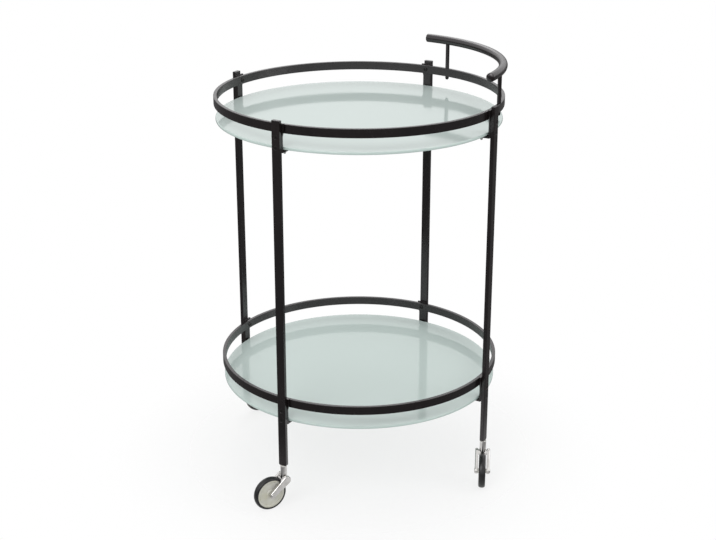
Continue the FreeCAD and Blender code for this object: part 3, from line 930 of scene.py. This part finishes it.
centre_finish = clouded_finish(
    "cream_plastic",
    tones=((0.60, 0.59, 0.475), (0.68, 0.675, 0.625)),
    tone_cloud=Cloud(45),
    roughness=(0.28, 0.42),
    gloss_cloud=Cloud(300),
    grain_cloud=Cloud(900),
    grain_depth=0.00002,
)
hub_high = measured("wheel_hub_front_right", axle_place)[1]
hub_radius = hub_high.x
rim_half = hub_high.z
web_half = rim_half - web_recess
rim_inside = hub_radius - rim_depth


def both_sides(one_side):
    """A closed outline from the corners of one side, listed outwards, and their mirror images."""
    return one_side + [(radius, -height) for radius, height in reversed(one_side)]


hub_outline = both_sides([(bush_radius, rim_half), (hub_boss_radius, rim_half),
                          (hub_boss_radius + web_recess, web_half), (rim_inside - web_recess, web_half),
                          (rim_inside, rim_half), (hub_radius, rim_half)])
hub_rounds = {number: moulding_round for number in range(1, len(hub_outline) - 1)}
for corner in CORNERS:
    hub = put(turned(hub_outline, hub_rounds, BEND_STEPS), axle_places[corner])
    finished(hub, "wheel_hub_" + corner, "disc", centre_finish)

# %% [markdown]
# The tyre is a rubber band with a crowned tread, round shoulders and a narrow step where it grips the rim.
# New rubber is nearly black and has a soft sheen, so two close tones and an uneven gloss do most of the
# work. A grain a little deeper than the plastic's keeps it from looking like enamel.

# %% Tyres
shoulder_round = 0.0019
tread_crown = 0.0017
tread_half = 0.0022
tread_round = 0.002
grip_step = 0.0003
grip_width = 0.0008

tyre_finish = clouded_finish(
    "black_rubber",
    tones=((0.005, 0.005, 0.0055), (0.011, 0.011, 0.012)),
    tone_cloud=Cloud(60, detail=5),
    roughness=(0.28, 0.42),
    gloss_cloud=Cloud(220),
    grain_cloud=Cloud(1300),
    grain_depth=0.00004,
)
tyre_half = measured("wheel_tyre_front_right", axle_place)[1].z
grip_half = tyre_half - grip_step
grip_radius = hub_radius + grip_width
tyre_outline = both_sides([(hub_radius, grip_half), (grip_radius, grip_half), (grip_radius, tyre_half),
                           (wheel_radius - tread_crown, tyre_half), (wheel_radius, tread_half)])
tyre_rounds = {3: shoulder_round, 4: tread_round, 5: tread_round, 6: shoulder_round}
for corner in CORNERS:
    band = put(turned(tyre_outline, tyre_rounds, BEND_STEPS), axle_places[corner])
    finished(band, "wheel_tyre_" + corner, "band", tyre_finish)

# %% [markdown]
# Small nylon parts keep metal off metal: a bush in each wheel, and a washer between each leg and its
# caster. They are plain sleeves with broken edges, so four corners and the lathe make them. Nylon is
# off-white and rather dull.

# %% Bushes and washers
bush_bore = 0.00255
washer_bore = 0.0031
sleeve_edge_round = 0.0002

nylon = clouded_finish(
    "white_nylon",
    tones=((0.62, 0.61, 0.57), (0.72, 0.71, 0.67)),
    tone_cloud=Cloud(400),
    roughness=(0.40, 0.55),
    gloss_cloud=Cloud(900),
)


def sleeve(bore, radius, low, high):
    """A short tube with broken edges."""
    outline = [(bore, low), (radius, low), (radius, high), (bore, high)]
    return turned(outline, {number: sleeve_edge_round for number in range(len(outline))}, SMALL_TURN_STEPS)


for corner in CORNERS:
    low, high = measured("wheel_bush_" + corner, axle_places[corner])
    bush = put(sleeve(bush_bore, bush_radius, low.z, high.z), axle_places[corner])
    finished(bush, "wheel_bush_" + corner, "sleeve", nylon)
low, high = measured("swivel_washers")
washers = sleeve(washer_bore, boss_radius, low.z, high.z)
finished(repeated(washers, [caster_places[corner] for corner in CORNERS]), "swivel_washers", "discs", nylon)

# %% [markdown]
# The pin that holds a caster is hidden in the boss but for its head. A new mesh would show nothing more, so
# the frame's own mesh stays there and only gets a finish: turned steel, with fine lines along its length
# from noise that is squeezed across the pin and drawn out along it.

# %% Caster pins
turning_lines = Cloud(300, detail=4, stretch=(6, 6, 0.5))
steel = clouded_finish(
    "brushed_steel",
    tones=((0.42, 0.42, 0.42), (0.55, 0.55, 0.55)),
    tone_cloud=turning_lines,
    roughness=(0.25, 0.40),
    gloss_cloud=turning_lines,
    settings={"Metallic": 1},
)
for corner in CORNERS:
    pin_mesh = frame["nodes"]["caster_pin_" + corner].data
    pin_mesh.materials.clear()
    pin_mesh.materials.append(steel)

# %% [markdown]
# The cart stands in a white room on a pale floor. Both have to look white without throwing too much light
# on the cart, so they ask which kind of ray has met them. A camera ray, a ray off a mirror and a ray
# through glass show the surface, and all other rays only carry its light.

# %% Telling rays apart
def maths(tree, operation, first, second):
    """A Math node on two values, each a socket or a number."""
    node = tree.nodes.new("ShaderNodeMath")
    node.operation = operation
    for value, socket in zip((first, second), node.inputs):
        if isinstance(value, (int, float)):
            socket.default_value = value
        else:
            tree.links.new(value, socket)
    return node.outputs["Value"]


def seeing_rays(tree):
    """1 for camera, glossy and transmission rays, 0 for those that only carry light."""
    rays = tree.nodes.new("ShaderNodeLightPath").outputs
    camera_or_glossy = maths(tree, "MAXIMUM", rays["Is Camera Ray"], rays["Is Glossy Ray"])
    return maths(tree, "MAXIMUM", camera_or_glossy, rays["Is Transmission Ray"])


def mixed(tree, share, first, second):
    """A shader that goes over from a first to a second one by a share."""
    mix = tree.nodes.new("ShaderNodeMixShader")
    for value, socket in zip((share, first, second), mix.inputs):
        tree.links.new(value, socket)
    return mix.outputs["Shader"]


# %% [markdown]
# Walls would get in the way of a camera that goes round the back, so the room is the world's colour: white
# where it is seen, and a softer level for the light itself. Towards the horizon and below it the room is
# dimmer in reflections, as a studio's outer floor is, so that upright dark paint stays dark.

# %% A white room
WHITE = (1, 1, 1, 1)
room_light = 0.62
dimming_heights = (0.2, -0.05)
lower_dimming = 0.85

world = bpy.data.worlds.new("white_room")
bpy.context.scene.world = world
world.use_nodes = True
room = world.node_tree
room.nodes.clear()
directions = room.nodes.new("ShaderNodeTexCoord").outputs["Generated"]
direction_parts = room.nodes.new("ShaderNodeSeparateXYZ")
room.links.new(directions, direction_parts.inputs["Vector"])
dim = remapped(room, direction_parts.outputs["Z"], dimming_heights, (0, lower_dimming), smooth=True)
glossy_rays = room.nodes.new("ShaderNodeLightPath").outputs["Is Glossy Ray"]
brightness = maths(room, "SUBTRACT", 1, maths(room, "MULTIPLY", glossy_rays, dim))
seen = room.nodes.new("ShaderNodeBackground")
room.links.new(brightness, seen.inputs["Strength"])
lighting = room.nodes.new("ShaderNodeBackground")
lighting.inputs["Strength"].default_value = room_light
for background in (seen, lighting):
    background.inputs["Color"].default_value = WHITE
surface = mixed(room, seeing_rays(room), lighting.outputs["Background"], seen.outputs["Background"])
room_output = room.nodes.new("ShaderNodeOutputWorld")
room.links.new(surface, room_output.inputs["Surface"])
print("room light:", room_light)

# %% [markdown]
# The floor is a pale disc that fades out into the white room, so no edge shows. It is part plain diffuse,
# which holds the cart's shadow, and where it is seen part white light, which keeps it as pale as the room
# around it.

# %% A pale floor
floor_radius = 0.5
fade_start = 0.18
floor_colour = (0.9, 0.9, 0.9, 1)
floor_whitening = 0.75


def pale_floor():
    """A pale floor that holds a shadow near the cart and fades out further away."""
    material = bpy.data.materials.new("pale_floor")
    material.use_nodes = True
    tree = material.node_tree
    tree.nodes.clear()
    diffuse = tree.nodes.new("ShaderNodeBsdfDiffuse")
    diffuse.inputs["Color"].default_value = floor_colour
    white = tree.nodes.new("ShaderNodeEmission")
    clear = tree.nodes.new("ShaderNodeBsdfTransparent")
    whitening = maths(tree, "MULTIPLY", seeing_rays(tree), floor_whitening)
    whitened = mixed(tree, whitening, diffuse.outputs["BSDF"], white.outputs["Emission"])
    fade = remapped(tree, axis_distance(tree), (fade_start, floor_radius), (0, 1), smooth=True)
    output = tree.nodes.new("ShaderNodeOutputMaterial")
    tree.links.new(mixed(tree, fade, whitened, clear.outputs["BSDF"]), output.inputs["Surface"])
    return material


# %% [markdown]
# The disc lies a hair below the wheels, so that the two never share a plane. It belongs to the stage and
# not to the cart.

# %% The floor's disc
floor_gap = 0.0002

floor_shape = bmesh.new()
bmesh.ops.create_circle(floor_shape, cap_ends=True, segments=BEND_STEPS, radius=floor_radius,
                        matrix=Matrix.Translation((0, 0, -floor_gap)))
floor_mesh = bpy.data.meshes.new("floor")
floor_shape.to_mesh(floor_mesh)
floor_shape.free()
floor_mesh.materials.append(pale_floor())
floor = bpy.data.objects.new("floor", floor_mesh)
bpy.context.scene.collection.objects.link(floor)
print("floor radius:", floor_radius)

# %% [markdown]
# Three large soft lamps stand round the cart: a main one at the front left, a weaker one at the right, and
# one high at the back that draws light along the upper edges. Their power is set so that a colour renders
# about as it is written.

# %% Soft lamps
Lamp = namedtuple("Lamp", "stand size power")
lamps = {
    "main_lamp": Lamp(stand=Vector((-1.6, -1.5, 2.2)), size=1.7, power=24),
    "side_lamp": Lamp(stand=Vector((1.9, -0.9, 1.6)), size=1.5, power=10),
    "back_lamp": Lamp(stand=Vector((0.4, 1.8, 2.3)), size=1.8, power=14),
}
lamp_target = Vector((0, 0, 0.42))

for name, lamp in lamps.items():
    light = bpy.data.lights.new(name, "AREA")
    light.shape = "DISK"
    light.size = lamp.size
    light.energy = lamp.power
    lamp_object = bpy.data.objects.new(name, light)
    lamp_object.location = lamp.stand
    lamp_object.rotation_euler = (lamp_target - lamp.stand).to_track_quat("-Z", "Y").to_euler()
    bpy.context.scene.collection.objects.link(lamp_object)
print("lamps:", ", ".join(lamps))

# %% [markdown]
# The camera stands a little left of the front and looks down on the trays. Its place and lens were fitted
# to the cart's outline in the photograph, with no shift, so that other views keep the cart in the middle.

# %% Camera
camera_stand = Vector((-0.5836, -2.2435, 1.2296))
camera_look = Vector((0.2347, 0.9053, -0.354))
camera_lens = 69.04

camera_data = bpy.data.cameras.new("camera")
camera_data.lens = camera_lens
camera = bpy.data.objects.new("camera", camera_data)
camera.location = camera_stand
camera.rotation_euler = camera_look.to_track_quat("-Z", "Y").to_euler()
bpy.context.scene.collection.objects.link(camera)
bpy.context.scene.camera = camera
bpy.context.scene.view_settings.view_transform = "Standard"
print("lens:", camera_lens, "mm")
